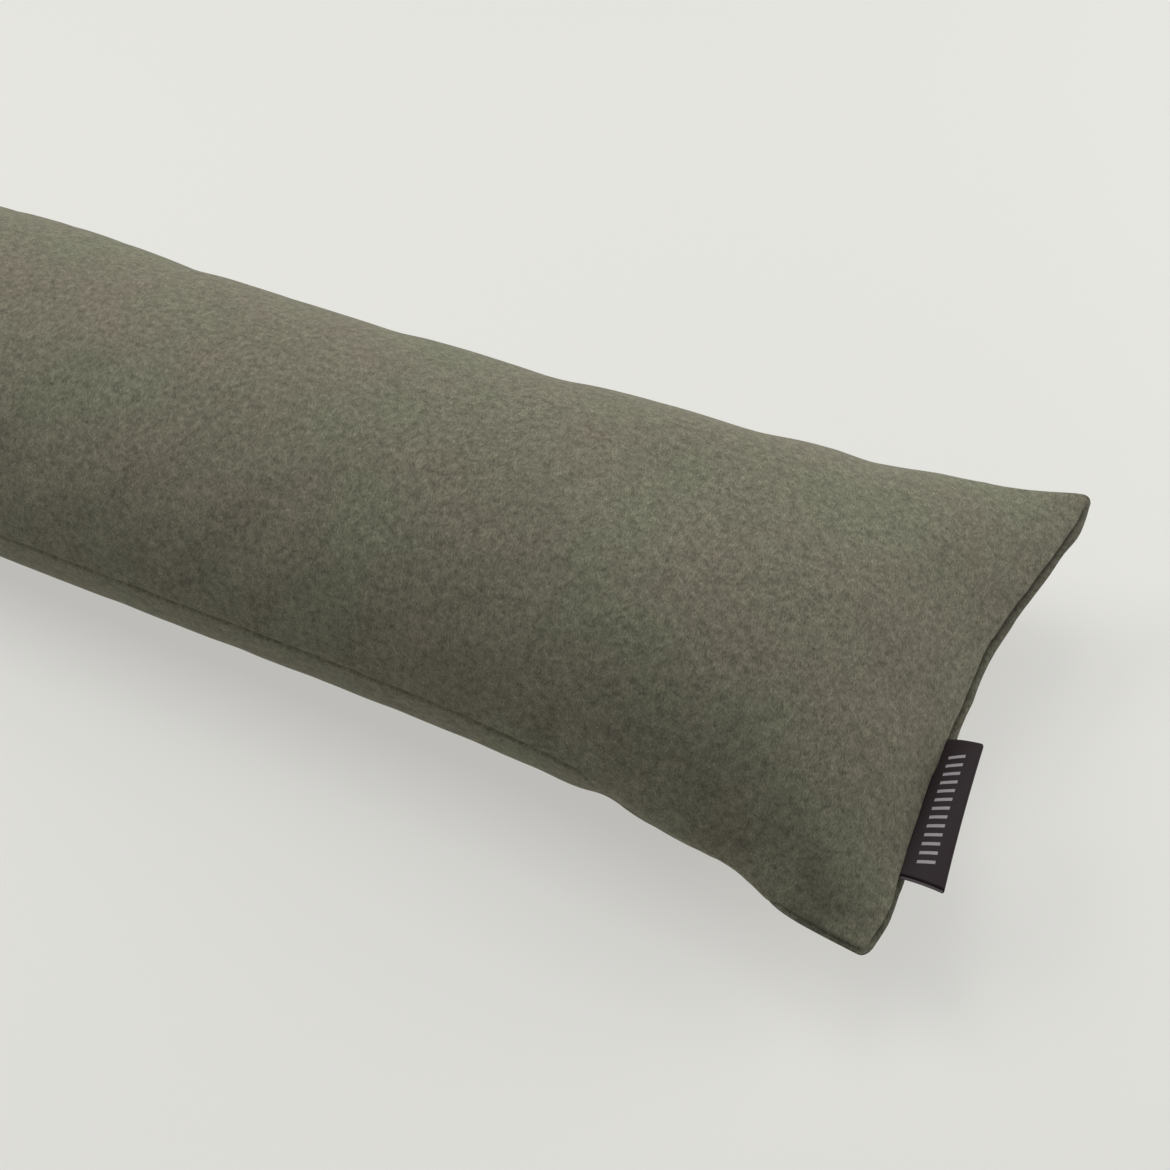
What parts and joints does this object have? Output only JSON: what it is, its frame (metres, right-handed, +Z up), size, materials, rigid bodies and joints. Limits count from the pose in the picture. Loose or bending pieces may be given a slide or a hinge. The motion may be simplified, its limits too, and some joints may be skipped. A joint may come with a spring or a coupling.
{
  "type": "door draught excluder cushion",
  "caption": "Long stuffed draught excluder in grey-olive felted wool cloth, plain turned seam all round, drawn-in ends and a folded bare ribbon label in one end seam.",
  "frame": {"origin": "centre of the bounding box in plan, on the surface that the cushion lies on", "axes": "+X along the cushion, towards the end with the label; +Y towards its back edge; +Z up"},
  "size_m": [0.913, 0.2286, 0.101],
  "materials": {
    "cover_felt": "grey-olive melange felted wool, matt and slightly fuzzy",
    "label_ribbon": "dark plum-brown woven ribbon with a faint satin sheen, bare of any text"
  },
  "bodies": {
    "root": {"cover": "cover_felt", "label": "label_ribbon"}
  },
  "joints": []
}
